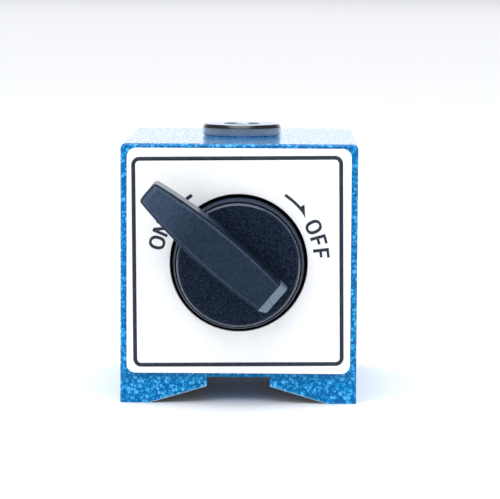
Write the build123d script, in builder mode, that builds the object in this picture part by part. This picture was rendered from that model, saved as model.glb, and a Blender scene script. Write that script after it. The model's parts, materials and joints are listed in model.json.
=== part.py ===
from build123d import *
import os
from math import cos, radians, sin, tan

# A switchable magnetic base. Two steel poles and two non-magnetic bars make a block with a
# bore along it, and a magnet rotor turns in the bore by a quarter turn, from on to off.
# X runs to the right of the front, Y to the back and Z up. The origin lies on the plane that
# the base stands on, under the post thread and midway along the block. All sizes are in mm.

# Fits
running_clearance = 0.05        # journals in their bearings, on the radius
loose_clearance = 0.3           # moving pieces beside fixed ones
seat_clearance = 0.02           # pressed, riveted, screwed or bonded seats, on the radius
axial_play = 0.05               # between faces that slide past each other

# Block
block_width = 50.0
block_depth = 60.0
block_height = 55.0
side_edge_radius = 1.2          # long top edges of the block
end_edge_chamfer = 0.4          # edges round the front and back faces
bar_width = 13.4                # non-magnetic bars, and the channel below them
foot_width = 6.2                # flat foot at each side
vee_slope = 16.5                # degrees, each side of the V that seats on round stock
channel_roof = 5.6              # underside of the lower bar
bore_radius = 15.0
axis_drop = 0.3                 # bore and rotor axis below the middle of the metal over the channel

# Rivets that tie the poles to the bars
tie_rivet_radius = 2.0
tie_rivet_spacing = 36.0        # along the block

# Threaded boss for the post
boss_radius = 8.6
boss_rise = 2.7
boss_chamfer_width = 0.35
boss_chamfer_height = 0.75
shank_radius = 5.5
shank_floor = 2.5               # metal left between the shank and the bore
thread_core_radius = 3.4        # M8 at its tapping size
thread_mouth_chamfer = 0.8

# Face plate and the adhesive sheet behind it
plate_side_margin = 1.4         # block left bare at each side of the plate
plate_end_margin = 0.9          # and above it, and between it and the channel
plate_thickness = 0.8
plate_corner_radius = 1.9
plate_edge_round = 0.15
plate_hole_clearance = 0.75     # round the knob
adhesive_thickness = 0.2
adhesive_margin = 0.5

# Front bearing, with the stop pin that sets the quarter turn
bearing_set_back = 4.5          # behind the front of the block
bearing_thickness = 4.0
stop_angle = 45.0               # degrees from +X, seen from the front
stop_circle_inset = 3.7         # stop pin's circle inside the rotor's rim
journal_inset = 4.05            # journal's face inside the stop pin's circle
stop_pin_radius = 1.5
stop_travel = 90.0              # degrees
stop_slot_depth = 2.8
stop_pin_reach = 2.4            # pin length inside the slot
thrust_washer_thickness = 0.5
thrust_washer_rim = 1.85

# Rotor
cap_thickness = 4.0
magnet_thickness = 9.0          # across the poles of the magnet
magnet_rim = 1.1                # from a magnet's outer face to the rotor's rim
magnet_gap = 6.0                # between the two magnets, where the long screw passes
rotor_rivet_radius = 1.5
rotor_rivet_head_radius = 2.6
rotor_rivet_inset = 3.7         # inside the rotor's rim, level with the axis
rotor_rivet_z = 3.0

# Rear journal, its bush and the disc spring
rear_journal_radius = 5.0
journal_end_gap = 1.0           # between the rear journal and the cover
bush_wall = 2.0
bush_flange_width = 2.0
bush_flange_thickness = 1.0
bush_end_gap = 0.5              # between the bush and the cover's disc
disc_spring_height = 1.0
disc_spring_thickness = 0.5
disc_spring_width = 3.5

# Rear cover and its screws
cover_thickness = 2.0
cover_rim_margin = 2.8          # cover's rim outside the circle of screws
cover_rim_clearance = 0.1
cover_boss_wall = 3.5
cover_boss_length = 4.9
cover_screw_margin = 2.6        # circle of screws outside the bore
cover_screw_count = 4
cover_screw_radius = 1.45
cover_screw_head_radius = 2.9
cover_screw_length = 8.0
cover_screw_tap_margin = 0.5    # tapped depth past the screw's end
drive_recess_span = 3.6
drive_recess_width = 0.7
drive_recess_depth = 1.2

# Knob
knob_bore_gap = 1.25            # between the knob's rim and the bore
knob_gap = 0.8                  # between the knob and the front bearing
flange_height = 1.85            # heights above the front of the face plate
shoulder_height = 3.9
shoulder_inset = 0.48           # shoulder inside the knob's rim
groove_depth = 0.3
groove_width = 0.35
disc_height = 5.5
disc_edge_radius = 0.6
knob_wall = 2.15
knob_web = 2.9                  # disc thickness over the hollow back
drive_boss_radius = 8.5
drive_square = 9.0
drive_length = 7.0
drive_clearance = 0.05

# Lever, in its own plane
lever_angle = 139.3             # degrees from +X, the way that its tip points when it is on
lever_height = 15.0
lever_under_height = 6.7
lever_reach = 24.6              # from the axis to the tip
lever_tail = 10.75              # from the axis to the near end
lever_tip_half = 2.5
lever_waist_half = 4.3
lever_waist_place = 3.0
lever_tail_half = 3.35
lever_tip_corner = 0.9
lever_tail_corner = 0.6
lever_draft = 0.5               # degrees
lever_slope_width = 2.15        # slope down the near end, from the face
lever_slope_depth = 6.0
lever_edge_radius = 0.5

# Long screw through the rotor into the knob's insert
screw_radius = 1.95
screw_hole_radius = 2.2
screw_head_radius = 3.5
screw_head_height = 2.4
screw_recess_radius = 1.5
screw_recess_depth = 1.4
lock_washer_thickness = 0.8
lock_washer_split = 0.6
head_bore_depth = 3.4
insert_radius = 2.8
insert_length = 8.5
insert_tip_margin = 1.0         # insert left in front of the screw's end

# Places along the block, from the front to the back
front = -block_depth / 2
back = block_depth / 2
plate_back = front - adhesive_thickness
plate_front = plate_back - plate_thickness
bearing_front = front + bearing_set_back
bearing_back = bearing_front + bearing_thickness
knob_back = bearing_front - knob_gap
rotor_front = bearing_back + thrust_washer_thickness + axial_play
core_front = rotor_front + cap_thickness
cover_front = back - cover_thickness
cover_boss_front = cover_front - cover_boss_length
bush_front = cover_boss_front - bush_flange_thickness
bush_back = cover_front - bush_end_gap
spring_front = bush_front - disc_spring_height
rotor_back = spring_front - axial_play
core_back = rotor_back - cap_thickness
journal_end = cover_front - journal_end_gap
head_bore_floor = journal_end - head_bore_depth
screw_seat = head_bore_floor + lock_washer_thickness
drive_end = knob_back - drive_length
socket_floor = drive_end - axial_play
insert_front = socket_floor - insert_length
screw_end = insert_front + insert_tip_margin
flange_front = plate_front - flange_height
shoulder_front = plate_front - shoulder_height
disc_front = plate_front - disc_height
web_back = disc_front + knob_web

# Heights, from the block's own
metal_middle = (channel_roof + block_height) / 2
axis_height = metal_middle - axis_drop
bore_top = axis_height + bore_radius
tie_rivet_low = (channel_roof + axis_height - bore_radius) / 2
tie_rivet_high = (block_height + bore_top) / 2

# Sizes that follow from the block, the bore and the fits
pole_face = bar_width / 2
plate_width = block_width - 2 * plate_side_margin
plate_height = block_height - channel_roof - 2 * plate_end_margin
rotor_radius = bore_radius - loose_clearance
stop_circle_radius = rotor_radius - stop_circle_inset
journal_radius = stop_circle_radius - journal_inset
rotor_rivet_x = rotor_radius - rotor_rivet_inset
magnet_height = rotor_radius - magnet_rim - magnet_gap / 2
knob_radius = bore_radius - knob_bore_gap
shoulder_radius = knob_radius - shoulder_inset
hub_radius = shoulder_radius - groove_width
plate_hole_radius = knob_radius + plate_hole_clearance
cover_screw_circle_radius = bore_radius + cover_screw_margin
cover_radius = cover_screw_circle_radius + cover_rim_margin
bush_bore_radius = rear_journal_radius + running_clearance
bush_radius = bush_bore_radius + bush_wall
stop_slot_radius = stop_pin_radius + loose_clearance
tapped_end = back - cover_screw_length - cover_screw_tap_margin

along_lever = (cos(radians(lever_angle)), 0, sin(radians(lever_angle)))


def facing_front(y):
    """Plane across the rotor axis at y, seen from the front, with X to the right."""
    return Plane(origin=(0, y, axis_height), x_dir=(1, 0, 0), z_dir=(0, -1, 0))


def facing_lever(height):
    """Plane at a height above the face plate, with its X axis along the lever."""
    return Plane(origin=(0, plate_front - height, axis_height), x_dir=along_lever, z_dir=(0, -1, 0))


def turn(points, places=((0, 0),), mode=Mode.ADD):
    """Turn an outline of (radius, y) points about lines along Y, at (x, z) places."""
    for x, z in places:
        centre = (x, 0, axis_height + z)
        with BuildSketch(Plane(origin=centre)) as outline:
            with BuildLine():
                Polyline(*points, close=True)
            make_face()
        revolve(outline.sketch, axis=Axis(centre, (0, 1, 0)), mode=mode)


def rod(radius, y_from, y_to, places=((0, 0),), mode=Mode.ADD):
    """Round bars along Y, at (x, z) places from the rotor axis."""
    with BuildSketch(facing_front(y_to)) as section:
        with Locations(*places):
            Circle(radius)
    extrude(section.sketch, amount=y_to - y_from, mode=mode)


def ring(outer, inner, y_from, y_to):
    """A flat ring about the rotor axis."""
    rod(outer, y_from, y_to)
    rod(inner, y_from, y_to, mode=Mode.SUBTRACT)


def ring_places(count, radius, first_angle):
    """Evenly spaced (x, z) places on a circle about the rotor axis."""
    angles = [radians(first_angle + 360 * i / count) for i in range(count)]
    return [(radius * cos(a), radius * sin(a)) for a in angles]


def save(piece, name):
    """Label a finished piece and write its file."""
    piece.part.label = name
    export_step(piece.part, f"parts/{name}.step")


def tie_rivet_bars(radius):
    """Bars across the block that hold the poles to the two non-magnetic bars."""
    with BuildPart() as bars:
        for height in (tie_rivet_low, tie_rivet_high):
            with BuildSketch(Plane.YZ):
                with Locations((-tie_rivet_spacing / 2, height), (tie_rivet_spacing / 2, height)):
                    Circle(radius)
            extrude(amount=block_width / 2, both=True)
    return bars.part


def block_blank():
    """The whole block before it is parted: outline, V, channel, edges, bore and holes."""
    half = block_width / 2
    vee_start = half - foot_width
    vee_end_height = (vee_start - pole_face) * tan(radians(vee_slope))
    with BuildPart() as blank:
        with BuildSketch(Plane.XZ):
            with BuildLine():
                Polyline(
                    (half, 0), (half, block_height), (-half, block_height), (-half, 0),
                    (-vee_start, 0), (-pole_face, vee_end_height), (-pole_face, channel_roof),
                    (pole_face, channel_roof), (pole_face, vee_end_height), (vee_start, 0),
                    close=True,
                )
            make_face()
        extrude(amount=block_depth / 2, both=True)
        top_face = blank.faces().sort_by(Axis.Z)[-1]
        fillet(top_face.edges().filter_by(Axis.Y), radius=side_edge_radius)
        ends = blank.faces().filter_by(Axis.Y)
        rims = [edge for edge in ends.edges() if edge.center().Z > channel_roof + end_edge_chamfer]
        chamfer(rims, length=end_edge_chamfer)
        rod(bore_radius, front, back, mode=Mode.SUBTRACT)
        rod(cover_radius + cover_rim_clearance, cover_front, back, mode=Mode.SUBTRACT)
        with Locations((0, 0, block_height)):
            Cylinder(shank_radius + seat_clearance, 2 * (block_height - bore_top - shank_floor),
                     mode=Mode.SUBTRACT)
        rod(cover_screw_radius + seat_clearance, tapped_end, back, cover_screw_places, Mode.SUBTRACT)
        add(tie_rivet_bars(tie_rivet_radius + seat_clearance), mode=Mode.SUBTRACT)
    return blank.part


cover_screw_places = ring_places(cover_screw_count, cover_screw_circle_radius, 180 / cover_screw_count)
rotor_rivet_places = [(x, z) for x in (-rotor_rivet_x, rotor_rivet_x)
                      for z in (-rotor_rivet_z, rotor_rivet_z)]
stop_place = (stop_circle_radius * cos(radians(stop_angle)),
              stop_circle_radius * sin(radians(stop_angle)))

os.makedirs("parts", exist_ok=True)
whole_block = block_blank()

# Poles: soft steel, one at each side
with BuildPart() as left_pole_block:
    add(whole_block)
    split(bisect_by=Plane.YZ.offset(-pole_face), keep=Keep.BOTTOM)
save(left_pole_block, "left_pole_block")

with BuildPart() as right_pole_block:
    add(whole_block)
    split(bisect_by=Plane.YZ.offset(pole_face), keep=Keep.TOP)
save(right_pole_block, "right_pole_block")

# Bars: non-magnetic, above and below the bore
with BuildPart() as upper_spacer_bar:
    add(whole_block)
    split(bisect_by=Plane.YZ.offset(-pole_face), keep=Keep.TOP)
    split(bisect_by=Plane.YZ.offset(pole_face), keep=Keep.BOTTOM)
    split(bisect_by=Plane.XY.offset(axis_height), keep=Keep.TOP)
save(upper_spacer_bar, "upper_spacer_bar")

with BuildPart() as lower_spacer_bar:
    add(whole_block)
    split(bisect_by=Plane.YZ.offset(-pole_face), keep=Keep.TOP)
    split(bisect_by=Plane.YZ.offset(pole_face), keep=Keep.BOTTOM)
    split(bisect_by=Plane.XY.offset(axis_height), keep=Keep.BOTTOM)
save(lower_spacer_bar, "lower_spacer_bar")

with BuildPart() as tie_rivets:
    add(tie_rivet_bars(tie_rivet_radius))
save(tie_rivets, "tie_rivets")

# Boss: a turned bush whose shank is pressed into the upper bar
with BuildPart() as post_boss:
    boss_top = block_height + boss_rise
    shank_end = bore_top + shank_floor
    with BuildSketch(Plane.XZ):
        with BuildLine():
            Polyline(
                (thread_core_radius, shank_end), (shank_radius, shank_end),
                (shank_radius, block_height), (boss_radius, block_height),
                (boss_radius, boss_top - boss_chamfer_height), (boss_radius - boss_chamfer_width, boss_top),
                (thread_core_radius + thread_mouth_chamfer, boss_top),
                (thread_core_radius, boss_top - thread_mouth_chamfer),
                close=True,
            )
        make_face()
    revolve(axis=Axis.Z)
save(post_boss, "post_boss")

# Face plate and the adhesive sheet behind it
with BuildPart() as adhesive_sheet:
    with BuildSketch(facing_front(front)):
        with Locations((0, metal_middle - axis_height)):
            RectangleRounded(plate_width - 2 * adhesive_margin, plate_height - 2 * adhesive_margin,
                             plate_corner_radius - adhesive_margin)
        Circle(bore_radius + adhesive_margin, mode=Mode.SUBTRACT)
    extrude(amount=adhesive_thickness)
save(adhesive_sheet, "adhesive_sheet")

with BuildPart() as face_plate:
    with BuildSketch(facing_front(plate_back)):
        with Locations((0, metal_middle - axis_height)):
            RectangleRounded(plate_width, plate_height, plate_corner_radius)
        Circle(plate_hole_radius, mode=Mode.SUBTRACT)
    extrude(amount=plate_thickness)
    fillet(face_plate.faces().sort_by(Axis.Y)[0].edges(), radius=plate_edge_round)
save(face_plate, "face_plate")

# Front bearing, stop pin and thrust washer
with BuildPart() as front_bearing:
    ring(bore_radius - seat_clearance, journal_radius + running_clearance, bearing_front, bearing_back)
    rod(stop_pin_radius + seat_clearance, bearing_front, bearing_back, [stop_place], Mode.SUBTRACT)
save(front_bearing, "front_bearing")

with BuildPart() as stop_pin:
    rod(stop_pin_radius, bearing_front, rotor_front + stop_pin_reach, [stop_place])
save(stop_pin, "stop_pin")

with BuildPart() as thrust_washer:
    washer_bore = journal_radius + running_clearance
    ring(washer_bore + thrust_washer_rim, washer_bore, bearing_back,
         bearing_back + thrust_washer_thickness)
save(thrust_washer, "thrust_washer")


def rotor_rivet(clearance, mode=Mode.ADD):
    """Rivets through the rotor, their heads countersunk into both caps."""
    shank = rotor_rivet_radius + clearance
    head = rotor_rivet_head_radius + clearance
    cone = head - shank
    outline = [(0, rotor_front), (head, rotor_front), (shank, rotor_front + cone),
               (shank, rotor_back - cone), (head, rotor_back), (0, rotor_back)]
    turn(outline, rotor_rivet_places, mode)


# Rotor: two magnets between two steel poles, held by end caps and rivets
with BuildPart() as rotor_front_cap:
    rod(rotor_radius, rotor_front, core_front)
    rod(journal_radius, knob_back, rotor_front)
    with BuildSketch(facing_front(knob_back)):
        Rectangle(drive_square, drive_square)
    extrude(amount=drive_length)
    rod(screw_hole_radius, drive_end, core_front, mode=Mode.SUBTRACT)
    with BuildSketch(facing_front(rotor_front)):
        SlotArc(Edge.make_circle(stop_circle_radius, start_angle=stop_angle,
                                 end_angle=stop_angle + stop_travel), 2 * stop_slot_radius)
    extrude(amount=-stop_slot_depth, mode=Mode.SUBTRACT)
    rotor_rivet(seat_clearance, Mode.SUBTRACT)
save(rotor_front_cap, "rotor_front_cap")

with BuildPart() as rotor_rear_cap:
    rod(rotor_radius, core_back, rotor_back)
    rod(rear_journal_radius, rotor_back, journal_end)
    rod(screw_hole_radius, core_back, journal_end, mode=Mode.SUBTRACT)
    rod(screw_head_radius + loose_clearance, head_bore_floor, journal_end, mode=Mode.SUBTRACT)
    rotor_rivet(seat_clearance, Mode.SUBTRACT)
save(rotor_rear_cap, "rotor_rear_cap")

for name, side in (("rotor_pole_left", -1), ("rotor_pole_right", 1)):
    with BuildPart() as rotor_pole:
        rod(rotor_radius, core_front, core_back)
        split(bisect_by=Plane.YZ.offset(side * magnet_thickness / 2),
              keep=Keep.TOP if side > 0 else Keep.BOTTOM)
        rotor_rivet(seat_clearance, Mode.SUBTRACT)
    save(rotor_pole, name)

for name, side in (("upper_magnet", 1), ("lower_magnet", -1)):
    with BuildPart() as magnet:
        with BuildSketch(facing_front(core_back)):
            with Locations((0, side * (magnet_gap + magnet_height) / 2)):
                Rectangle(magnet_thickness, magnet_height)
        extrude(amount=core_back - core_front)
    save(magnet, name)

with BuildPart() as rotor_rivets:
    rotor_rivet(0)
save(rotor_rivets, "rotor_rivets")

# Long screw from the rear, its lock washer and the insert that it screws into
with BuildPart() as rotor_screw:
    head_end = screw_seat + screw_head_height
    turn([(0, screw_end), (screw_radius, screw_end), (screw_radius, screw_seat),
          (screw_head_radius, screw_seat), (screw_head_radius, head_end), (0, head_end)])
    with BuildSketch(facing_front(head_end)):
        RegularPolygon(screw_recess_radius, 6)
    extrude(amount=screw_recess_depth, mode=Mode.SUBTRACT)
save(rotor_screw, "rotor_screw")

with BuildPart() as lock_washer:
    ring(screw_head_radius, screw_hole_radius, head_bore_floor, screw_seat)
    with BuildSketch(facing_front(screw_seat)):
        with Locations(((screw_head_radius + screw_hole_radius) / 2, 0)):
            Rectangle(screw_head_radius, lock_washer_split)
    extrude(amount=lock_washer_thickness, mode=Mode.SUBTRACT)
save(lock_washer, "lock_washer")

with BuildPart() as knob_insert:
    ring(insert_radius, screw_radius + seat_clearance, insert_front, socket_floor)
save(knob_insert, "knob_insert")

# Rear bush, disc spring, cover and cover screws
with BuildPart() as rear_bush:
    flange = bush_radius + bush_flange_width
    turn([(bush_bore_radius, bush_front), (flange, bush_front), (flange, cover_boss_front),
          (bush_radius, cover_boss_front), (bush_radius, bush_back), (bush_bore_radius, bush_back)])
save(rear_bush, "rear_bush")

with BuildPart() as disc_spring:
    spring_bore = rear_journal_radius + loose_clearance
    spring_rim = spring_bore + disc_spring_width
    spring_dish = disc_spring_height - disc_spring_thickness
    turn([(spring_bore, spring_front), (spring_rim, spring_front + spring_dish),
          (spring_rim, bush_front), (spring_bore, bush_front - spring_dish)])
save(disc_spring, "disc_spring")

cover_screw_cone = cover_screw_head_radius - cover_screw_radius

with BuildPart() as rear_cover:
    rod(cover_radius, cover_front, back)
    rod(bush_radius + cover_boss_wall, cover_boss_front, cover_front)
    rod(bush_radius + seat_clearance, cover_boss_front, cover_front, mode=Mode.SUBTRACT)
    head = cover_screw_head_radius + seat_clearance
    shank = cover_screw_radius + seat_clearance
    turn([(0, cover_front), (shank, cover_front), (shank, back - cover_screw_cone), (head, back),
          (0, back)], cover_screw_places, Mode.SUBTRACT)
save(rear_cover, "rear_cover")

with BuildPart() as rear_cover_screws:
    turn([(0, back - cover_screw_length), (cover_screw_radius, back - cover_screw_length),
          (cover_screw_radius, back - cover_screw_cone), (cover_screw_head_radius, back), (0, back)],
         cover_screw_places)
    with BuildSketch(facing_front(back)):
        with Locations(*cover_screw_places):
            Rectangle(drive_recess_span, drive_recess_width)
            Rectangle(drive_recess_width, drive_recess_span)
    extrude(amount=drive_recess_depth, mode=Mode.SUBTRACT)
save(rear_cover_screws, "rear_cover_screws")


# Knob: a turned disc with a hollow back and a square socket, and a lever across its front
def lever_outline():
    """The lever's face: a tapered tip, two gently curved sides and a square near end."""
    with BuildLine() as sides:
        upper = ThreePointArc((lever_reach, lever_tip_half), (lever_waist_place, lever_waist_half),
                              (-lever_tail, lever_tail_half))
        lower = ThreePointArc((lever_reach, -lever_tip_half), (lever_waist_place, -lever_waist_half),
                              (-lever_tail, -lever_tail_half))
        Line(upper @ 0, lower @ 0)
        Line(upper @ 1, lower @ 1)
    make_face(sides.edges())


with BuildPart() as lever:
    with BuildSketch(facing_lever(lever_under_height)) as outline:
        lever_outline()
        corners = outline.vertices().sort_by(Axis.X)
        fillet(corners[-2:], radius=lever_tip_corner)
        fillet(outline.vertices().sort_by(Axis.X)[:2], radius=lever_tail_corner)
    extrude(amount=lever_height - lever_under_height, taper=lever_draft)
    slope_edge = facing_lever(lever_height).from_local_coords((lever_slope_width - lever_tail, 0, 0))
    slope_normal = Vector(0, -lever_slope_width, 0) - Vector(*along_lever) * lever_slope_depth
    split(bisect_by=Plane(origin=slope_edge, z_dir=slope_normal), keep=Keep.BOTTOM)
    fillet(lever.faces().sort_by(Axis.Y)[0].edges(), radius=lever_edge_radius)

with BuildPart() as knob:
    turn([
        (0, knob_back), (knob_radius, knob_back), (knob_radius, flange_front),
        (shoulder_radius, shoulder_front), (hub_radius + groove_width / 2, shoulder_front + groove_depth),
        (hub_radius, shoulder_front), (hub_radius, disc_front), (0, disc_front),
    ])
    fillet(knob.faces().sort_by(Axis.Y)[0].edges(), radius=disc_edge_radius)
    with BuildSketch(facing_lever(disc_height - disc_edge_radius)) as root:
        lever_outline()
        Circle(hub_radius - disc_edge_radius, mode=Mode.INTERSECT)
    extrude(amount=lever_under_height - disc_height + disc_edge_radius)
    add(lever.part)
    with BuildSketch(facing_front(web_back)):
        Circle(knob_radius - knob_wall)
        Circle(drive_boss_radius, mode=Mode.SUBTRACT)
    extrude(amount=web_back - knob_back, mode=Mode.SUBTRACT)
    with BuildSketch(facing_front(knob_back)):
        Rectangle(drive_square + 2 * drive_clearance, drive_square + 2 * drive_clearance)
    extrude(amount=knob_back - socket_floor, mode=Mode.SUBTRACT)
    rod(insert_radius + seat_clearance, insert_front, socket_floor, mode=Mode.SUBTRACT)
save(knob, "knob")
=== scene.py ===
import json
import math

import bmesh
import bpy
from mathutils import Matrix, Vector


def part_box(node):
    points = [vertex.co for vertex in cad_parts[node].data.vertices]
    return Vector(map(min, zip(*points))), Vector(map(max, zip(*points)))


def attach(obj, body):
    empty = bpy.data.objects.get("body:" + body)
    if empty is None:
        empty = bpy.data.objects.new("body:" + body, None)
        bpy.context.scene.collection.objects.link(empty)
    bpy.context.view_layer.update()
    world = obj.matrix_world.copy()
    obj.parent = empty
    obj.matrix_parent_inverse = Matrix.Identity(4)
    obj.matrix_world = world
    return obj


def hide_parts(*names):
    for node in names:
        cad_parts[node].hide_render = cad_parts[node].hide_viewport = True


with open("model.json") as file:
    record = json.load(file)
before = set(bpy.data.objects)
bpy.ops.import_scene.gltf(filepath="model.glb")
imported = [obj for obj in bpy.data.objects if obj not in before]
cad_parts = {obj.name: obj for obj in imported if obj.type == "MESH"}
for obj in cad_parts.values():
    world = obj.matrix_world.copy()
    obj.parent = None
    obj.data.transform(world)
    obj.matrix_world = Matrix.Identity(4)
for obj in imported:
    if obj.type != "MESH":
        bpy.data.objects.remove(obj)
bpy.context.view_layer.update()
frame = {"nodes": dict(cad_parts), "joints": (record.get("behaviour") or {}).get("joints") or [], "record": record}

# The looks of a switchable magnetic base: a hammertone block with a printed plate, a moulded
# knob and a turned boss. Places and sizes are in metres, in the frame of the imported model.
MM = 0.001


def size_of(node):
    """Middle and size of a node's box at rest."""
    low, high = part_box(node)
    return (low + high) / 2, high - low


axis_height = frame["joints"][0]["pos_m"][2]
plate_low, plate_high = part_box("face_plate")
boss_low, boss_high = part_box("post_boss")
block_low, block_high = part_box("left_pole_block")
cover_low, cover_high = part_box("rear_cover")
boss_radius = (boss_high.x - boss_low.x) / 2
cover_radius = (cover_high.x - cover_low.x) / 2
disc_front = plate_low.y - 5.5 * MM     # front of the knob's disc


# Node trees

class Field:
    """A socket of a node tree. Arithmetic on it adds the Math nodes that work it out."""

    def __init__(self, tree, socket):
        self.tree = tree
        self.socket = socket

    def other(self, name):
        """Another output of the same node."""
        return Field(self.tree, self.socket.node.outputs[name])

    def math(self, operation, *values):
        return self.tree.add("ShaderNodeMath", {"operation": operation}, values)

    def or_more(self, value):
        """The larger of two numbers."""
        return self.math("MAXIMUM", self, value)

    def __add__(self, value):
        return self.math("ADD", self, value)

    def __radd__(self, value):
        return self.math("ADD", value, self)

    def __sub__(self, value):
        return self.math("SUBTRACT", self, value)

    def __rsub__(self, value):
        return self.math("SUBTRACT", value, self)

    def __mul__(self, value):
        return self.math("MULTIPLY", self, value)

    def __rmul__(self, value):
        return self.math("MULTIPLY", value, self)

    def __truediv__(self, value):
        return self.math("DIVIDE", self, value)

    def __pow__(self, value):
        return self.math("POWER", self, value)

    def __abs__(self):
        return self.math("ABSOLUTE", self)

    def __lt__(self, value):
        return self.math("LESS_THAN", self, value)

    def __gt__(self, value):
        return self.math("GREATER_THAN", self, value)

    def within(self, low, high):
        """1 between two numbers, and 0 outside them."""
        return (self > low) * (self < high)


class Tree:
    """A node tree, with one method that adds any node."""

    def __init__(self, nodes, links):
        self.nodes = nodes
        self.links = links

    def add(self, kind, settings=None, values=(), output=0):
        """Add a node: its settings first, then values or links for its sockets, by name or in order."""
        node = self.nodes.new(kind)
        for name, setting in (settings or {}).items():
            if name == "stops":
                self.set_stops(node.color_ramp, setting)
            else:
                setattr(node, name, setting)
        pairs = values.items() if isinstance(values, dict) else enumerate(values)
        for key, value in pairs:
            self.feed(node.inputs[key], value)
        return Field(self, node.outputs[output]) if len(node.outputs) else node

    def feed(self, socket, value):
        """Link a field to a socket, or set the socket's own value."""
        if isinstance(value, Field):
            self.links.new(value.socket, socket)
        elif value is not None:
            socket.default_value = value

    def set_stops(self, ramp, stops):
        while len(ramp.elements) < len(stops):
            ramp.elements.new(1.0)
        for element, (place, colour) in zip(ramp.elements, stops):
            element.position = place
            element.color = (*colour, 1.0)


class Finish(Tree):
    """A material with one main shader. Its constants are set on the shader's own sockets."""

    def __init__(self, name, **constants):
        self.material = bpy.data.materials.new(name)
        self.material.use_nodes = True
        tree = self.material.node_tree
        super().__init__(tree.nodes, tree.links)
        self.shader = tree.nodes["Principled BSDF"]
        for socket, value in constants.items():
            self.shader.inputs[socket.replace("_", " ").title().replace("Ior", "IOR")].default_value = value
        self.place = self.add("ShaderNodeTexCoord", output="Object")

    @classmethod
    def on_world(cls, world):
        """The same helpers on the surround's tree, where the place is the direction."""
        tree = cls.__new__(cls)
        Tree.__init__(tree, world.node_tree.nodes, world.node_tree.links)
        tree.place = tree.add("ShaderNodeTexCoord", output="Generated")
        return tree

    def wear(self, **fields):
        """Feed the shader's sockets that vary over the surface."""
        for socket, field in fields.items():
            self.feed(self.shader.inputs[socket.replace("_", " ").title()], field)
        return self.material

    def along(self, *scales):
        """The place, stretched along each axis."""
        return self.add("ShaderNodeMapping", {"vector_type": "POINT"}, {
            "Vector": self.place, "Scale": scales})

    def axes(self, vector=None):
        """The three numbers of a vector, or of the place."""
        parts = self.add("ShaderNodeSeparateXYZ", values=[vector or self.place])
        return parts, parts.other("Y"), parts.other("Z")

    def noise(self, scale, detail=2.0, roughness=0.5, vector=None):
        return self.add("ShaderNodeTexNoise", values={
            "Vector": vector or self.place, "Scale": scale, "Detail": detail, "Roughness": roughness})

    def cells(self, scale, feature="F1", vector=None, jitter=1.0):
        return self.add("ShaderNodeTexVoronoi", {"feature": feature}, {
            "Vector": vector or self.place, "Scale": scale, "Randomness": jitter})

    def step(self, value, low, high):
        """A soft step from 0 to 1 as a value goes from low to high."""
        return self.add("ShaderNodeMapRange", {"interpolation_type": "SMOOTHSTEP"}, {
            "Value": value, "From Min": low, "From Max": high})

    def mix(self, factor, first, second):
        """Blend two colours."""
        node = self.nodes.new("ShaderNodeMix")
        node.data_type = "RGBA"
        colours = [socket for socket in node.inputs if socket.type == "RGBA"]
        self.feed(node.inputs[0], factor)
        for socket, colour in zip(colours, (first, second)):
            self.feed(socket, colour if isinstance(colour, Field) else (*colour, 1.0))
        return Field(self, next(out for out in node.outputs if out.type == "RGBA"))

    def shaken(self, scale, reach, detail=2.0):
        """The place, moved about by up to a small reach, so that cells aren't regular."""
        drift = self.noise(scale, detail=detail).other("Color")
        return self.add("ShaderNodeVectorMath", {"operation": "MULTIPLY_ADD"}, [
            drift, (reach, reach, reach), self.place])

    def facing(self):
        """How far the surface faces along each axis."""
        return self.axes(self.add("ShaderNodeNewGeometry", output="True Normal"))

    def bump(self, height, depth):
        """A bump as deep as the given number of metres where the height goes from 0 to 1."""
        return self.add("ShaderNodeBump", values={"Height": height, "Distance": depth, "Strength": 1.0})

    def blend(self, factor, first, second):
        """Blend two directions."""
        node = self.nodes.new("ShaderNodeMix")
        node.data_type = "VECTOR"
        vectors = [socket for socket in node.inputs if socket.type == "VECTOR"]
        self.feed(node.inputs[0], factor)
        self.feed(vectors[-2], first)
        self.feed(vectors[-1], second)
        return Field(self, next(out for out in node.outputs if out.type == "VECTOR"))

    def radius(self, across="XZ"):
        """Distance from the rotor's axis, or from the post's."""
        x, y, z = self.axes()
        other = z - axis_height if across == "XZ" else y
        return (x * x + other * other) ** 0.5


# Finishes

NEAR = 0.05 * MM                # how near a place has to be to count as on an edge
LEVER_ANGLE = math.radians(139.3)   # the lever's direction at rest, turned up from +X
LEVER_HEEL = 8.6 * MM           # from the axis back to the slope at the lever's near end
LEVER_WAIST = 4.25 * MM         # half of the lever's greatest width
LEVER_WAIST_PLACE = 3.0 * MM    # from the axis to it
LEVER_NARROWING = 4.0           # how fast the sides draw in from there, per metre
LEVER_TIP = 23.6 * MM           # from the axis to the lever's far edge
HUB_RIM = 12.86 * MM            # radius where the grain of the disc ends
BORE_RADIUS = 15.0 * MM
RECESS_DEPTH = 2.0 * MM         # of the rear cover's seat
V_SLOPE = math.radians(16.5)    # the V's slopes, from level
V_OUTER = 18.8 * MM             # from the middle to the V's outer edges
V_INNER = 6.7 * MM
V_TOP = 3.55 * MM

GROUND_STEEL = (0.56, 0.56, 0.57)
SCRATCHED_STEEL = (0.36, 0.36, 0.37)
# Painted shade for the V's slopes, under the block.
V_SLOPE_SHADE_STEEL = (0.010, 0.018, 0.040)
# Painted shade for the inside of the bore.
BORE_SHADE_STEEL = (0.05, 0.05, 0.055)
# Painted dark reflection for the boss's top chamfer.
CHAMFER_DARK_REFLECTION = (0.10, 0.09, 0.09)
PAINT_TONES = [                 # from the gaps between the blobs to their middles
    (0.0, (0.000, 0.105, 0.330)),
    (0.16, (0.000, 0.165, 0.445)),
    (0.45, (0.003, 0.275, 0.615)),
    (1.0, (0.095, 0.475, 0.850)),
]
CHIPPED_PAINT = (0.50, 0.70, 0.88)
# Painted shadow of the plate, on the paint just under its lower edge.
PLATE_SHADOW_PAINT = (0.004, 0.090, 0.230)
BLOBS_PER_METRE = 1220.0
BEADS_PER_METRE = 2500.0


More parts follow.
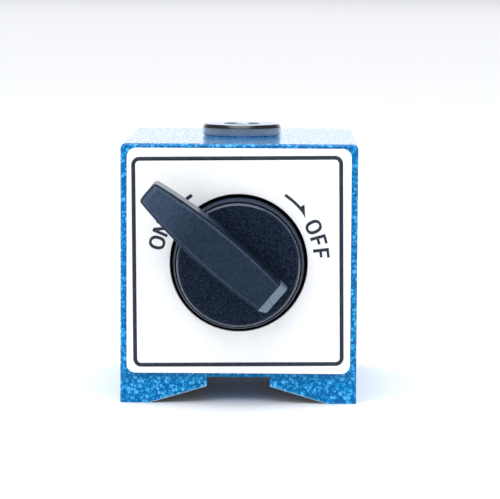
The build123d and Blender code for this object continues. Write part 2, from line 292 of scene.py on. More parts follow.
def hammered(finish):
    """The paint's blobs and the beads between them: the blobs' outline, a tone and a height."""
    shift = finish.shaken(1700.0, 0.5 * MM, detail=3.0)
    blobs = finish.cells(BLOBS_PER_METRE, vector=shift)
    size_chance, heart_chance, light_chance = finish.axes(blobs.other("Color"))
    rim = 0.38 + 0.22 * size_chance
    dish = 1 - finish.step(blobs, rim - 0.15, rim + 0.05)
    heart = (1 - finish.step(blobs, 0.05, 0.24)) * finish.step(heart_chance, 0.45, 0.6)
    beads = finish.cells(BEADS_PER_METRE, vector=shift)
    bead_chance = finish.axes(beads.other("Color"))
    bead = (1 - finish.step(beads, 0.26, 0.44)) * finish.step(bead_chance[0], 0.2, 0.6)
    light = dish * (0.34 + 0.66 * light_chance) - heart * 0.35
    tone = light.or_more(bead * (0.35 + 0.60 * bead_chance[1]))
    return dish, tone, dish * (1 - blobs) + bead * 0.3


def chipped_paint_and_plate_shadow(finish, paint, metal):
    """Paint chipped bare along the V's edges, and a painted shadow of the plate just under it."""
    x, y, z = finish.axes()
    side = abs(x)
    groove = (V_OUTER - side).or_more(0.0) * math.tan(V_SLOPE)
    ragged = 0.16 * MM * finish.noise(900.0, detail=3.0)
    chipped = (z < groove + NEAR + ragged) * side.within(V_INNER, V_OUTER)
    corner = ((side - V_INNER) ** 2 + (z - V_TOP) ** 2) ** 0.5 < 0.45 * MM
    worn = chipped.or_more(corner) * (1 - metal)
    paint = finish.mix(worn * 0.7, paint, CHIPPED_PAINT)
    # Painted shadow: the front of the paint is darker in a band just under the plate.
    plate_shadow = finish.step(z, plate_low.z - 2.2 * MM, plate_low.z - 0.6 * MM) * (z < plate_low.z)
    return finish.mix(plate_shadow * (y < block_low.y + 0.3 * MM) * 0.42, paint, PLATE_SHADOW_PAINT)


def hammertone():
    """Blue hammertone paint, with the ground underside, the bore and the rear recess left bare; painted shade
    darkens the V's slopes and the bore.
    """
    finish = Finish("hammertone_paint", coat_roughness=0.10, specular_ior_level=0.22,
                    specular_tint=(0.28, 0.74, 1.0, 1.0))
    x, y, z = finish.axes()
    dish, tone, height = hammered(finish)
    broad = finish.noise(140.0, detail=3.0)
    paint = finish.add("ShaderNodeValToRGB", {"stops": PAINT_TONES}, [0.03 + tone * (0.78 + 0.45 * broad)])

    up = finish.facing()[2]
    under = (up < -0.5) * (z < V_TOP + 0.85 * MM)
    reach = finish.radius()
    bore = (reach < BORE_RADIUS + 0.2 * MM) * (y > plate_high.y + 0.2 * MM)
    in_recess = y.within(block_high.y - RECESS_DEPTH - NEAR, block_high.y - 0.02 * MM)
    recess = (reach < cover_radius + 0.2 * MM) * in_recess
    bare = under.or_more(recess)
    scratches = finish.noise(1.0, detail=4.0, vector=finish.along(5200.0, 90.0, 5200.0))
    steel = finish.mix(scratches, SCRATCHED_STEEL, GROUND_STEEL)
    # Painted shade: the V's slopes, above the feet, are near-black blue steel.
    steel = finish.mix((z > 0.1 * MM) * under, steel, V_SLOPE_SHADE_STEEL)
    # Painted shade: the bore's steel is near black.
    steel = finish.mix(bore, steel, BORE_SHADE_STEEL)
    metal = bare.or_more(bore)
    return finish.wear(
        base_color=finish.mix(metal, chipped_paint_and_plate_shadow(finish, paint, metal), steel),
        metallic=metal,
        roughness=0.34 + 0.10 * broad + metal * 0.06,
        coat_weight=(0.14 + 0.86 * (up > 0.5)) * (1 - metal) * (0.66 + 0.34 * dish),
        normal=finish.blend(metal, finish.bump(height, 0.045 * MM), finish.bump(scratches, 0.006 * MM)),
    )


def turned(name, colour, across, pitch, depth, roughness, dark_chamfer_reflection=False):
    """Lathe-turned metal: fine rings about an axis, with a slow change of shade."""
    finish = Finish(name, metallic=1.0)
    reach = finish.radius(across)
    turns = reach * (2 * math.pi / pitch) + finish.noise(240.0, detail=2.0) * 0.35
    rings = finish.add("ShaderNodeMath", {"operation": "SINE"}, [turns])
    fine = finish.noise(1.0, detail=5.0, vector=finish.add(
        "ShaderNodeCombineXYZ", values=[reach * 7000.0, 0.0, 0.0]))
    cloud = finish.noise(130.0, detail=3.0)
    shade = fine * 0.55 + cloud * 0.30 + rings * 0.09
    dark = tuple(part * 0.66 for part in colour)
    tone = finish.mix(finish.step(shade, 0.3, 0.6), dark, colour)
    # Painted dark reflection: the boss's top chamfer is darkened.
    if dark_chamfer_reflection:
        below_top = boss_high.z - finish.axes()[2]
        chamfer = (reach > boss_radius - 0.45 * MM) * below_top.within(0.03 * MM, 0.8 * MM)
        tone = finish.mix(chamfer, tone, CHAMFER_DARK_REFLECTION)
    return finish.wear(
        base_color=tone,
        roughness=roughness + 0.12 * fine,
        normal=finish.bump(0.5 + 0.25 * rings + 0.5 * fine, depth),
    )


def plate_enamel():
    """White satin face of the plate, with the faint unevenness of a rolled sheet."""
    finish = Finish("white_enamel", coat_weight=0.25, coat_roughness=0.25)
    sheet = finish.noise(160.0, detail=3.0)
    grain = finish.noise(3500.0, detail=2.0)
    scuffs = finish.noise(1.0, detail=4.0, vector=finish.along(260.0, 260.0, 2600.0))
    tint = finish.mix(finish.step(sheet, 0.3, 0.7), (0.91, 0.905, 0.915), (0.935, 0.93, 0.935))
    return finish.wear(
        base_color=finish.mix(finish.step(scuffs, 0.66, 0.8) * 0.25, tint, (0.78, 0.78, 0.81)),
        roughness=0.34 + 0.1 * scuffs,
        normal=finish.bump(grain * 0.4 + sheet, 0.008 * MM),
    )


def ink():
    """Dark slate screen print, a little uneven where the ink lies thinner."""
    finish = Finish("slate_ink", specular_ior_level=0.35)
    thin = finish.noise(900.0, detail=4.0, roughness=0.6)
    return finish.wear(
        base_color=finish.mix(finish.step(thin, 0.35, 0.8), (0.009, 0.015, 0.028), (0.026, 0.038, 0.064)),
        roughness=0.42 + 0.2 * thin,
        normal=finish.bump(thin, 0.01 * MM),
    )


# The disc's tones are darker than the lever's, though both are one plastic: painted shade on the disc. The grain's
# colour is painted shade in its creases and painted highlight on its cushions.
DISC_CREASE_SHADE = (0.0004, 0.0012, 0.0045)
DISC_CUSHION_HIGHLIGHT = (0.0150, 0.0260, 0.0560)
DISC_RIM = (0.0060, 0.0100, 0.0200)
# Painted highlight for the disc's rounded edge.
DISC_EDGE_HIGHLIGHT = (0.015, 0.024, 0.046)
LEVER_DARK = (0.007, 0.013, 0.026)
LEVER_LIGHT = (0.019, 0.030, 0.054)
# Painted sheen towards the lever's tip.
TIP_SHEEN_TONE = (0.040, 0.060, 0.096)
# Painted highlight along the lever face's edges.
EDGE_HIGHLIGHT_TONE = (0.085, 0.115, 0.175)
# Painted shade on the rounding between the lever's face and sides.
ROUNDING_SHADE_TONE = (0.0030, 0.0055, 0.0120)
# Painted reflection on the slope at the lever's near end.
HEEL_REFLECTION_DARK = (0.070, 0.105, 0.165)
HEEL_REFLECTION_LIGHT = (0.135, 0.180, 0.260)
SEAM_TONE = (0.009, 0.014, 0.024)
# Painted shade on the lever's sides near the disc, and a painted reflection on them further out.
NEAR_SIDE_SHADE = (0.004, 0.008, 0.018)
FAR_SIDE_REFLECTION = (0.025, 0.039, 0.073)


def leather_grain(finish):
    """Pebbled grain: small cushions with creases between them."""
    shift = finish.shaken(2200.0, 0.28 * MM)
    hide = finish.cells(2000.0, feature="SMOOTH_F1", vector=shift)
    crease = finish.cells(1650.0, feature="DISTANCE_TO_EDGE", vector=shift)
    return finish.step(crease, 0.02, 0.26) * 0.6 + finish.step(hide, 0.55, 0.15) * 0.4


def lever_colour(finish, along, across, lever, facing, lever_side, heel, mottle, cloud):
    """The lever's tone, with painted sheen at the tip, a painted reflection on the heel, painted highlights along
    the face's edges, painted shade on the rounding and on the sides near the disc, and a painted reflection on the
    sides further out.
    """
    # Painted sheen: the lever grows lighter towards its tip.
    tip = finish.step(along, 11.0 * MM, 21.0 * MM) * lever
    seam = heel * (abs(across + 0.55 * along + 4.6 * MM) < 0.08 * MM)
    face = lever * (facing > 0.985)
    from_side = LEVER_WAIST - (along - LEVER_WAIST_PLACE) ** 2 * LEVER_NARROWING - abs(across)
    # Painted highlight along the face's long edges, stronger on one side, and along the tip.
    edge_highlight = face * finish.step(from_side, 1.05 * MM, 0.55 * MM) * (0.30 + 0.25 * (across < 0))
    edge_highlight = edge_highlight.or_more(face * finish.step(along, LEVER_TIP - 0.7 * MM, LEVER_TIP) * 0.6)
    # Painted shade on the rounding of the lever's face.
    rounding_shade = lever * (1 - heel) * (facing > 0.2) * (1 - finish.step(facing, 0.80, 0.985))
    tone = finish.mix(mottle * 0.6 + cloud * 0.4, LEVER_DARK, LEVER_LIGHT)
    tone = finish.mix(tip * (0.55 + 0.45 * mottle), tone, TIP_SHEEN_TONE)
    tone = finish.mix(edge_highlight * (0.5 + 0.5 * mottle), tone, EDGE_HIGHLIGHT_TONE)
    tone = finish.mix(rounding_shade * 0.85, tone, ROUNDING_SHADE_TONE)
    # Painted reflection: the heel's slope is lighter, mottled.
    tone = finish.mix(heel, tone, finish.mix(mottle, HEEL_REFLECTION_DARK, HEEL_REFLECTION_LIGHT))
    tone = finish.mix(seam, tone, SEAM_TONE)
    # Painted shade on the sides near the disc, fading to a painted reflection further out.
    side_reflection = finish.step(along, 5.0 * MM, 12.0 * MM)
    return finish.mix(lever_side, tone, finish.mix(side_reflection, NEAR_SIDE_SHADE, FAR_SIDE_REFLECTION))


def knob_plastic():
    """Moulded plastic: leather grain on the disc, a finer spark grain on the lever."""
    finish = Finish("moulded_plastic", specular_ior_level=0.16, specular_tint=(0.50, 0.72, 1.0, 1.0),
                    coat_roughness=0.12, coat_ior=1.7, coat_tint=(0.86, 0.93, 1.0, 1.0))
    x, y, z = finish.axes()
    height = z - axis_height
    along = x * math.cos(LEVER_ANGLE) + height * math.sin(LEVER_ANGLE)
    across = height * math.cos(LEVER_ANGLE) - x * math.sin(LEVER_ANGLE)
    facing = abs(finish.facing()[1])
    lever = 1 - finish.step(y, disc_front - 0.5 * MM, disc_front - 0.1 * MM)
    heel = (along < -LEVER_HEEL) * lever
    lever_side = (1 - finish.step(facing, 0.22, 0.32)) * (y < disc_front - NEAR) * (1 - heel)
    disc_edge = (1 - finish.step(facing, 0.86, 0.99)) * (y > disc_front - NEAR)
    rim = finish.step(finish.radius(), HUB_RIM, HUB_RIM + 0.14 * MM) * (1 - lever)
    leather = leather_grain(finish)
    spark = finish.noise(2600.0, detail=4.0, roughness=0.62)
    mottle = finish.step(spark, 0.38, 0.64)
    cloud = finish.noise(300.0, detail=3.0)
    # Painted shade in the grain's creases and painted highlight on its cushions.
    disc_tone = finish.mix(leather, DISC_CREASE_SHADE, DISC_CUSHION_HIGHLIGHT)
    disc_tone = finish.mix(rim, disc_tone, DISC_RIM)
    # Painted highlight: the disc's rounded edge and the walls behind it are lighter.
    disc_tone = finish.mix(disc_edge, disc_tone, DISC_EDGE_HIGHLIGHT)
    lever_tone = lever_colour(finish, along, across, lever, facing, lever_side, heel, mottle, cloud)
    return finish.wear(
        base_color=finish.mix(lever, disc_tone, lever_tone),
        roughness=0.30 + 0.10 * cloud + 0.04 * lever + 0.2 * rim,
        coat_weight=(disc_edge + lever_side * 0.45) * (y < disc_front + 0.65 * MM),
        normal=finish.bump(leather * (1 - lever) + spark * lever * 0.6, 0.022 * MM),
    )


def foam():
    """Off-white foam of the double-sided adhesive sheet."""
    finish = Finish("adhesive_foam", specular_ior_level=0.2)
    pores = finish.cells(4200.0)
    return finish.wear(
        base_color=finish.mix(finish.step(pores, 0.2, 0.6), (0.62, 0.61, 0.57), (0.80, 0.79, 0.74)),
        roughness=0.8 + 0.1 * pores,
        normal=finish.bump(pores, 0.03 * MM),
    )


def plain_moulding(name, dark, light, **constants):
    """A machined plastic washer, with faint saw marks."""
    finish = Finish(name, **constants)
    marks = finish.noise(1.0, detail=4.0, vector=finish.along(4000.0, 900.0, 4000.0))
    return finish.wear(
        base_color=finish.mix(marks, dark, light),
        roughness=0.42 + 0.15 * marks,
        normal=finish.bump(marks, 0.01 * MM),
    )


def sintered(name, dark, light):
    """Pressed and fired ferrite, or plain steel with a cast skin."""
    finish = Finish(name, metallic=0.2)
    grit = finish.noise(3200.0, detail=5.0, roughness=0.7)
    chips = finish.cells(700.0)
    return finish.wear(
        base_color=finish.mix(grit, dark, light),
        roughness=0.62 + 0.2 * grit,
        normal=finish.bump(grit + 0.3 * chips, 0.03 * MM),
    )


def zinc():
    """Bright zinc plating, with the spangle of small crystals."""
    finish = Finish("bright_zinc", metallic=1.0)
    spangle = finish.cells(2400.0).other("Color")
    shade = finish.axes(spangle)[0]
    haze = finish.noise(700.0, detail=4.0)
    return finish.wear(
        base_color=finish.mix(shade * 0.5 + haze * 0.5, (0.50, 0.51, 0.53), (0.72, 0.73, 0.75)),
        roughness=0.22 + 0.18 * haze,
        normal=finish.bump(haze, 0.008 * MM),
    )


finishes = {
    "paint": hammertone(),
    "plate": plate_enamel(),
    "knob_plastic": knob_plastic(),
    "adhesive": foam(),
    "bright_steel": turned("turned_steel", (0.62, 0.72, 0.86), "XY", 0.16 * MM, 0.010 * MM, 0.20,
                           dark_chamfer_reflection=True),
    "bronze": turned("turned_bronze", (0.62, 0.40, 0.16), "XZ", 0.20 * MM, 0.008 * MM, 0.26),
    "hardened_steel": turned("ground_steel", (0.45, 0.45, 0.47), "XZ", 0.10 * MM, 0.004 * MM, 0.22),
    "aluminium": turned("turned_aluminium", (0.72, 0.73, 0.75), "XZ", 0.18 * MM, 0.010 * MM, 0.28),
    "cover_aluminium": turned("faced_aluminium", (0.52, 0.53, 0.55), "XZ", 0.28 * MM, 0.016 * MM, 0.26),
    "soft_steel": turned("turned_soft_steel", (0.36, 0.36, 0.37), "XZ", 0.22 * MM, 0.010 * MM, 0.34),
    "nylon": plain_moulding("natural_nylon", (0.70, 0.68, 0.60), (0.80, 0.78, 0.71)),
    "acetal": plain_moulding("black_acetal", (0.001, 0.001, 0.002), (0.004, 0.004, 0.006),
                             specular_ior_level=0.08),
    "ferrite": sintered("sintered_ferrite", (0.03, 0.03, 0.033), (0.075, 0.075, 0.08)),
    "zinc_steel": zinc(),
}
slate_ink = ink()


# Pieces made here

def add_piece(name, mesh, material, body):
    """Link a finished mesh, whose place is in its points, and say what it rides on."""
    piece = bpy.data.objects.new(name, mesh)
    bpy.context.scene.collection.objects.link(piece)
    if material is not None:
        mesh.materials.clear()
        mesh.materials.append(material)
    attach(piece, body)
    return piece


def seal(mesh):
    """Merge doubled points, and turn every face outwards."""
    edit = bmesh.new()
    edit.from_mesh(mesh)
    bmesh.ops.remove_doubles(edit, verts=edit.verts, dist=1e-7)
    bmesh.ops.dissolve_degenerate(edit, edges=edit.edges, dist=1e-8)
    bmesh.ops.recalc_face_normals(edit, faces=edit.faces)
    edit.to_mesh(mesh)
    edit.free()


def shade_by_angle(mesh, degrees):
    """Round shading over gentle turns, and sharp edges where the surface turns by more."""
    mesh.polygons.foreach_set("use_smooth", [True] * len(mesh.polygons))
    mesh.set_sharp_from_angle(angle=math.radians(degrees))


# Printing on the plate: everything is drawn flat, in millimetres about the rotor's axis

INK_DEPTH = 0.03
LETTER_RING = 17.5              # radius of the letters' middles
LETTER_HEIGHT = 3.35
STEM = 0.68                     # width of the letters' upright strokes
ARM = 0.56                      # and of their level ones
ARC_RING = 17.33                # radius of the arrows' lines
NOTCH_BEHIND = 8.4              # degrees from an arrow's tip back to where its barb leaves the line
BARB_BEHIND = 7.9               # to the barb's end
HEEL_BEHIND = 4.6               # and to where the head meets the line's inner side
BARB_OUT = 1.22                 # from the ring out to the barb's end
TIP_IN = 0.46                   # and in to the tip


def squircle(half_width, half_height, power=2.35, count=56):
    """A closed oval, a little fuller than an ellipse."""
    points = []
    for i in range(count):
        turn = 2 * math.pi * i / count
        c, s = math.cos(turn), math.sin(turn)
        points.append((math.copysign(abs(c) ** (2 / power), c) * half_width,
                       math.copysign(abs(s) ** (2 / power), s) * half_height))
    return points


def letter_o():
    half_width, half_height = 1.42, LETTER_HEIGHT / 2 + 0.05
    return [squircle(half_width, half_height), squircle(half_width - STEM, half_height - ARM)]


def letter_f():
    left, right, top = -0.98, 1.06, LETTER_HEIGHT / 2
    middle, short = 0.16, right - 0.2
    return [[(left, -top), (left + STEM, -top), (left + STEM, middle - ARM), (short, middle - ARM),
             (short, middle), (left + STEM, middle), (left + STEM, top - ARM), (right, top - ARM),
             (right, top), (left, top)]]


def letter_n():
    half, top, stem = 1.3, LETTER_HEIGHT / 2, 0.64
    slant, notch = 0.74, LETTER_HEIGHT / 2 - 1.2
    return [[(-half, -top), (-half + stem, -top), (-half + stem, notch), (half - slant, -top), (half, -top),
             (half, top), (half - stem, top), (half - stem, -notch), (-half + slant, top), (-half, top)]]


def on_ring(outlines, degrees, further_out=0.0):
    """Stand a letter on its ring, its top outwards."""
    turn = math.radians(degrees)
    c, s = math.cos(turn), math.sin(turn)
    ring = LETTER_RING + further_out
    return [[(ring * c + u * s + v * c, ring * s - u * c + v * s) for u, v in outline]
            for outline in outlines]


def polar(radius, degrees):
    return radius * math.cos(math.radians(degrees)), radius * math.sin(math.radians(degrees))


def arc_arrow(tail, tip, side, line_width):
    """A curved arrow with one barb outside its line; side is -1 if it runs clockwise, 1 if not."""
    inner, outer = ARC_RING - line_width / 2, ARC_RING + line_width / 2
    notch, barb, heel = (tip - side * behind for behind in (NOTCH_BEHIND, BARB_BEHIND, HEEL_BEHIND))
    steps = 14
    line = [polar(outer, tail + (notch - tail) * i / steps) for i in range(steps + 1)]
    head = [polar(ARC_RING + BARB_OUT, barb), polar(ARC_RING - TIP_IN, tip)]
    back = [polar(inner, heel + (tail - heel) * i / steps) for i in range(steps + 1)]
    return [line + head + back]


def printed(name, outlines):
    """Ink with a little height on the front of the plate, from closed outlines in millimetres."""
    curve = bpy.data.curves.new(name, "CURVE")
    curve.dimensions = "2D"
    curve.fill_mode = "BOTH"
    curve.extrude = INK_DEPTH / 2
    for outline in outlines:
        spline = curve.splines.new("POLY")
        spline.points.add(len(outline) - 1)
        spline.points.foreach_set("co", [value for u, v in outline for value in (u, v, 0, 1)])
        spline.use_cyclic_u = True
    drawing = bpy.data.objects.new(name, curve)
    bpy.context.scene.collection.objects.link(drawing)
    mesh = bpy.data.meshes.new_from_object(drawing.evaluated_get(bpy.context.evaluated_depsgraph_get()))
    bpy.data.objects.remove(drawing)
    onto_plate(mesh)
    return add_piece(name, mesh, slate_ink, "base")


def onto_plate(mesh):
    """Move a flat drawing to the plate, so that a third of the ink's thickness stands proud."""
    sunk = INK_DEPTH / 6
    mesh.transform(
        Matrix.Translation((0, plate_low.y + sunk * MM, axis_height))
        @ Matrix.Rotation(math.radians(90), 4, "X") @ Matrix.Scale(MM, 4))
    seal(mesh)


def grow(name, build, inputs, material):
    """Make a mesh with a tree of geometry nodes whose sizes are named inputs."""
    group = bpy.data.node_groups.new(name, "GeometryNodeTree")
    sockets = {}
    for key, value in inputs.items():
        kind = "NodeSocketInt" if isinstance(value, int) else "NodeSocketFloat"
        sockets[key] = group.interface.new_socket(key, in_out="INPUT", socket_type=kind)
    group.interface.new_socket("Mesh", in_out="OUTPUT", socket_type="NodeSocketGeometry")
    tree = Tree(group.nodes, group.links)
    source = group.nodes.new("NodeGroupInput")
    shape = build(tree, {key: Field(tree, source.outputs[key]) for key in inputs})
    shape = tree.add("GeometryNodeRealizeInstances", values=[shape])
    shape = tree.add("GeometryNodeSetMaterial", values={"Geometry": shape, "Material": material})
    tree.feed(group.nodes.new("NodeGroupOutput").inputs[0], shape)
    carrier = bpy.data.objects.new(name, bpy.data.meshes.new(name))
    bpy.context.scene.collection.objects.link(carrier)
    modifier = carrier.modifiers.new(name, "NODES")
    modifier.node_group = group
    for key, value in inputs.items():
        modifier[sockets[key].identifier] = value
    depsgraph = bpy.context.evaluated_depsgraph_get()
    mesh = bpy.data.meshes.new_from_object(carrier.evaluated_get(depsgraph), depsgraph=depsgraph)
    bpy.data.objects.remove(carrier)
    mesh.name = name
    return mesh


def border_line(tree, given):
    """A line of ink that follows a square with round corners."""
    square = tree.add("GeometryNodeCurvePrimitiveQuadrilateral", values={
        "Width": given["Side"] - given["Line"], "Height": given["Side"] - given["Line"]})
    path = tree.add("GeometryNodeFilletCurve", {"mode": "POLY"}, {
        "Curve": square, "Count": 10, "Radius": given["Corner"] - given["Line"] / 2})
    path = tree.add("GeometryNodeSetCurveNormal", {"mode": "Z_UP"}, [path])
    section = tree.add("GeometryNodeCurvePrimitiveQuadrilateral", values={
        "Width": given["Line"], "Height": given["Ink"]})
    return tree.add("GeometryNodeCurveToMesh", values={"Curve": path, "Profile Curve": section})


def plate_border():
    """The printed border, a little askew on the plate, as the print is."""
    askew, shift_x, shift_z = 0.65, -0.2, 0.24
    mesh = grow("print_border", border_line,
                {"Side": 44.45, "Line": 0.84, "Corner": 1.7, "Ink": INK_DEPTH}, slate_ink)
    mesh.transform(Matrix.Translation((shift_x, shift_z, 0)) @ Matrix.Rotation(math.radians(askew), 4, "Z"))
    onto_plate(mesh)
    return add_piece("print_border", mesh, slate_ink, "base")


def plate_print():
    """The border, the two words and their arrows. ON stands a little further out than OFF."""
    plate_border()
    shift = 0.17
    printed("print_off", on_ring(letter_o(), 26.0) + on_ring(letter_f(), 16.1) + on_ring(letter_f(), 7.0))
    printed("print_on", on_ring(letter_o(), 166.3, shift) + on_ring(letter_n(), 156.2, shift))
    printed("arrow_off", arc_arrow(56.2, 34.2, -1, 0.62))
    printed("arrow_on", arc_arrow(124.8, 147.0, 1, 0.74))


# The boss

THREAD_PITCH = 1.25
THREAD_CORE = 3.4
THREAD_DEPTH = 0.56
THREAD_CREST = 0.125            # flat shares of the pitch
THREAD_ROOT = 0.20
ROWS_PER_TURN = 16
MOUTH_CHAMFER = 0.8
BOSS_CHAMFER_WIDTH = 0.35
BOSS_CHAMFER_HEIGHT = 0.75
BROKEN_EDGE = 0.06              # of the chamfer's two edges
UNDERCUT_DEPTH = 0.25           # of the groove where the boss meets the block
UNDERCUT_HEIGHT = 0.1
UNDERCUT_TOP = 0.35             # where its slope comes out
SHANK_RADIUS = 5.5              # of the boss inside the block


def thread_radius(turns):
    """Radius of the threaded wall where the helix has made a number of turns."""
    phase = turns % 1.0
    slope = (1 - THREAD_CREST - THREAD_ROOT) / 2
    if phase < THREAD_CREST:
        rise = 0.0
    elif phase < THREAD_CREST + slope:
        rise = (phase - THREAD_CREST) / slope
    elif phase < THREAD_CREST + slope + THREAD_ROOT:
        rise = 1.0
    else:
        rise = (1 - phase) / slope
    return THREAD_CORE + THREAD_DEPTH * min(1.0, max(0.0, rise))


def threaded_boss():
    """The turned boss, with the post's thread cut in it."""
    around = 96
    radius = boss_radius / MM
    top, bottom = boss_high.z / MM, boss_low.z / MM
    seat = block_high.z / MM
    rim, skirt = radius - BOSS_CHAMFER_WIDTH, top - BOSS_CHAMFER_HEIGHT
    rows = int((top - bottom) / THREAD_PITCH * ROWS_PER_TURN)
    outer = [(rim - BROKEN_EDGE * 5 / 6, top), (rim + BROKEN_EDGE / 6, top - BROKEN_EDGE),
             (radius - BROKEN_EDGE / 3, skirt + BROKEN_EDGE * 2 / 3), (radius, skirt - BROKEN_EDGE),
             (radius, seat + UNDERCUT_TOP), (radius - UNDERCUT_DEPTH, seat + UNDERCUT_HEIGHT),
             (radius - UNDERCUT_DEPTH, seat), (SHANK_RADIUS, seat), (SHANK_RADIUS, bottom)]
    edit = bmesh.new()
    rings = []
    for i in range(around):
        turn = 2 * math.pi * i / around
        column = []
        for j in range(rows + 1):
            height = bottom + (top - bottom) * j / rows
            mouth = THREAD_CORE + MOUTH_CHAMFER - (top - height)
            reach = max(thread_radius(height / THREAD_PITCH - i / around), mouth)
            column.append((reach, height))
        column += outer
        rings.append([edit.verts.new((r * math.cos(turn) * MM, r * math.sin(turn) * MM, h * MM))
                      for r, h in column])
    count = len(rings[0])
    for i in range(around):
        here, beside = rings[i], rings[(i + 1) % around]
        for j in range(count):
            k = (j + 1) % count
            edit.faces.new((here[j], here[k], beside[k], beside[j]))
    mesh = bpy.data.meshes.new("threaded_boss")
    edit.to_mesh(mesh)
    edit.free()
    seal(mesh)
    shade_by_angle(mesh, 30)
    piece = add_piece("threaded_boss", mesh, finishes["bright_steel"], "base")
    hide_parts("post_boss")


# Cover screws

def countersunk_screws(tree, given):
    """Countersunk screws with a cross recess, set evenly on a circle."""
    def taper(top, foot, depth, sides):
        return tree.add("GeometryNodeMeshCone", values={
            "Vertices": sides, "Radius Top": top, "Radius Bottom": foot, "Depth": depth})

    def moved(mesh, z, scale=None, turn=0.0):
        return tree.add("GeometryNodeTransform", values={
            "Geometry": mesh, "Rotation": (0.0, 0.0, turn), "Scale": scale,
            "Translation": tree.add("ShaderNodeCombineXYZ", values=[0.0, 0.0, z])})

    square = 1.42                   # about a square's corner from its middle, over half its side
    first_turn, next_turn = 0.4, 1.37   # radians: each screw stops at its own angle
    lip = given["Head Radius"] * 0.04
    cone = given["Head Radius"] - given["Shank Radius"] - lip
    head = moved(taper(given["Head Radius"], given["Shank Radius"], cone, 48), -1 * cone - lip)
    rim = moved(taper(given["Head Radius"] - lip * 0.6, given["Head Radius"], lip, 48), -1 * lip)
    shank = moved(taper(given["Shank Radius"], given["Shank Radius"], given["Length"] - cone, 32),
                  -1 * given["Length"])
    depth = given["Recess Depth"]
    blade = taper(given["Recess Span"] * 0.5, given["Recess Span"] * 0.22, depth * 1.1, 4)
    thin = given["Recess Width"] / given["Recess Span"]
    blades = []
    for quarter in (0, 1):
        turned_blade = moved(blade, -1 * depth, turn=math.radians(45))
        narrow = tree.add("ShaderNodeCombineXYZ", values=[square, thin * square, 1.0])
        flat = tree.add("GeometryNodeTransform", values={"Geometry": turned_blade, "Scale": narrow})
        blades.append(tree.add("GeometryNodeTransform", values={
            "Geometry": flat, "Rotation": (0.0, 0.0, math.radians(90 * quarter))}))
    body = tree.add("GeometryNodeMeshBoolean", {"operation": "UNION", "solver": "EXACT"})
    for part in (head, rim, shank):
        tree.feed(body.socket.node.inputs["Mesh 2"], part)
    cut = tree.add("GeometryNodeMeshBoolean", {"operation": "DIFFERENCE", "solver": "EXACT"}, {
        "Mesh 1": body})
    for part in blades:
        tree.feed(cut.socket.node.inputs["Mesh 2"], part)
    circle = tree.add("GeometryNodeMeshCircle", values={
        "Vertices": given["Count"], "Radius": given["Circle"]})
    index = tree.add("GeometryNodeInputIndex")
    spin = tree.add("ShaderNodeCombineXYZ", values=[0.0, 0.0, index * next_turn + first_turn])
    return tree.add("GeometryNodeInstanceOnPoints", values={
        "Points": circle, "Instance": cut, "Rotation": spin})


def cover_screws():
    """The four screws of the rear cover, their heads just below its face."""
    middle, size = size_of("rear_cover_screws")
    head, sunk = 2.9, 0.06
    circle = (size.x / 2 / MM - head) / math.cos(math.radians(45))
    round_head, past_foot = 0.04, 0.1   # clearances
    mesh = grow("cover_screws", countersunk_screws, {
        "Count": 4, "Circle": circle, "Head Radius": head - round_head, "Shank Radius": 1.42,
        "Length": size.y / MM - past_foot, "Recess Span": 3.5, "Recess Width": 0.72, "Recess Depth": 1.25,
    }, finishes["zinc_steel"])
    mesh.transform(
        Matrix.Translation((middle.x, cover_high.y - sunk * MM, axis_height))
        @ Matrix.Rotation(math.radians(-90), 4, "X") @ Matrix.Rotation(math.radians(45), 4, "Z")
        @ Matrix.Scale(MM, 4))
    seal(mesh)
    shade_by_angle(mesh, 28)
    piece = add_piece("cover_screws", mesh, finishes["zinc_steel"], "base")
    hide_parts("rear_cover_screws")


# Studio

FRONT_LIGHT = 0.26              # of the surround on matt surfaces, from the front
BACK_LIGHT = 1.14               # and from behind
ROOM_LIGHT = 0.32               # of the room that gloss mirrors
CARD_LIGHT = 1.34               # and of the card in it
BACKDROP_LIGHT = 1.2            # of what the camera sees
CARD_TINT = (0.985, 0.99, 1.0)
ROOM_TINT = (0.72, 0.88, 1.10)


def photo_camera():
    """A camera at the photograph's place, found by fitting the corners of the block and the plate."""
    place = Vector((0.010012, -0.589097, 0.089349))
    yaw, pitch, roll = (math.radians(angle) for angle in (-0.785, 5.781, 0.3034))
    ahead = Vector((math.sin(yaw) * math.cos(pitch), math.cos(yaw) * math.cos(pitch), -math.sin(pitch)))
    right = Vector((math.cos(yaw), -math.sin(yaw), 0))
    up = right.cross(ahead)
    tilted_right = right * math.cos(roll) + up * math.sin(roll)
    tilted_up = up * math.cos(roll) - right * math.sin(roll)
    data = bpy.data.cameras.new("photo_camera")
    data.sensor_width = 36.0
    data.lens = 192.06
    camera = bpy.data.objects.new("photo_camera", data)
    bpy.context.scene.collection.objects.link(camera)
    turn = Matrix((tilted_right, tilted_up, -ahead)).transposed().to_4x4()
    camera.matrix_world = Matrix.Translation(place) @ turn
    bpy.context.scene.camera = camera


def softbox(name, place, aim, width, height, brightness, mirrored=True, tint=(0.95, 0.98, 1.0)):
    """A rectangular lamp of a given brightness, aimed at a point; a fill isn't mirrored in the gloss."""
    data = bpy.data.lights.new(name, "AREA")
    data.shape = "RECTANGLE"
    data.size = width
    data.size_y = height
    data.energy = brightness * width * height * math.pi
    data.color = tint
    lamp = bpy.data.objects.new(name, data)
    bpy.context.scene.collection.objects.link(lamp)
    lamp.location = place
    lamp.visible_glossy = mirrored
    lamp.rotation_mode = "QUATERNION"
    lamp.rotation_quaternion = (Vector(aim) - Vector(place)).to_track_quat("-Z", "Y")


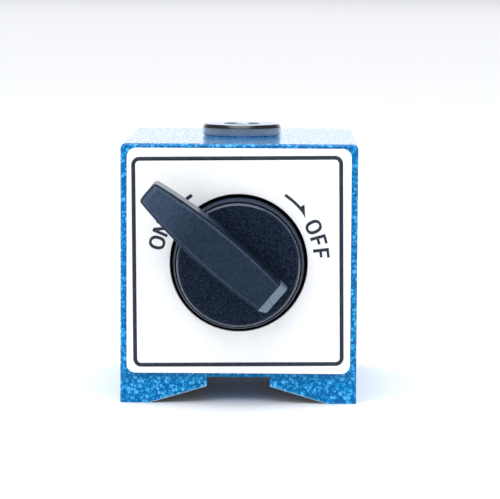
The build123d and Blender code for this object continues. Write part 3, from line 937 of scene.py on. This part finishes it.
def studio_sky():
    """White all round behind the object; gloss sees a dim blue room with a white card behind."""
    world = bpy.data.worlds.new("studio")
    world.use_nodes = True
    bpy.context.scene.world = world
    tree = Finish.on_world(world)
    x, y, z = tree.axes()
    lit = FRONT_LIGHT + tree.step(y, -0.5, 0.5) * (BACK_LIGHT - FRONT_LIGHT)
    card = tree.step(y - abs(x) * 0.6, 0.30, 0.62) * (1 - tree.step(z, 0.30, 0.42))
    mirrored = ROOM_LIGHT + card * (CARD_LIGHT - ROOM_LIGHT)
    path = tree.add("ShaderNodeLightPath", output="Is Camera Ray")
    gloss = path.other("Is Glossy Ray")
    strength = lit + gloss * (mirrored - lit)
    background = world.node_tree.nodes["Background"]
    tree.feed(background.inputs["Color"], tree.mix(gloss * (1 - card), CARD_TINT, ROOM_TINT))
    tree.feed(background.inputs["Strength"], strength + path * (BACKDROP_LIGHT - strength))


def floor():
    """A plain pale floor."""
    finish = Finish("pale_floor", roughness=0.75, specular_ior_level=0.2, emission_strength=0.024,
                    emission_color=(1.0, 0.98, 1.0, 1.0))
    cloud = finish.noise(3.0, detail=2.0)
    material = finish.wear(base_color=finish.mix(cloud, (0.97, 0.97, 0.98), (0.985, 0.985, 0.99)))
    edit = bmesh.new()
    bmesh.ops.create_circle(edit, cap_ends=True, radius=20.0, segments=96)
    mesh = bpy.data.meshes.new("pale_floor")
    edit.to_mesh(mesh)
    edit.free()
    mesh.transform(Matrix.Translation((0, 0, -0.02 * MM)))
    mesh.materials.append(material)
    ground = bpy.data.objects.new("pale_floor", mesh)
    bpy.context.scene.collection.objects.link(ground)


def dress_nodes():
    """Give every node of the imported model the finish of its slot."""
    slots = {row["node"]: row["material_slot"] for row in frame["record"]["subparts"]}
    for node, piece in frame["nodes"].items():
        piece.data.materials.clear()
        piece.data.materials.append(finishes[slots[node]])


photo_camera()
bpy.context.scene.view_settings.view_transform = "Standard"
studio_sky()
softbox("overhead_light", (-0.05, -0.42, 0.86), (0, -0.04, 0.03), 0.85, 1.15, 2.05)
softbox("left_fill", (-1.0, -0.85, 0.35), (0, -0.03, 0.03), 1.3, 0.9, 1.36, mirrored=False)
softbox("right_fill", (1.0, -0.85, 0.35), (0, -0.03, 0.03), 1.3, 0.9, 0.85, mirrored=False)
softbox("ceiling", (0, 0.001, 4.0), (0, 0, 0), 18.0, 18.0, 0.32, mirrored=False)
floor()
dress_nodes()
plate_print()
threaded_boss()
cover_screws()
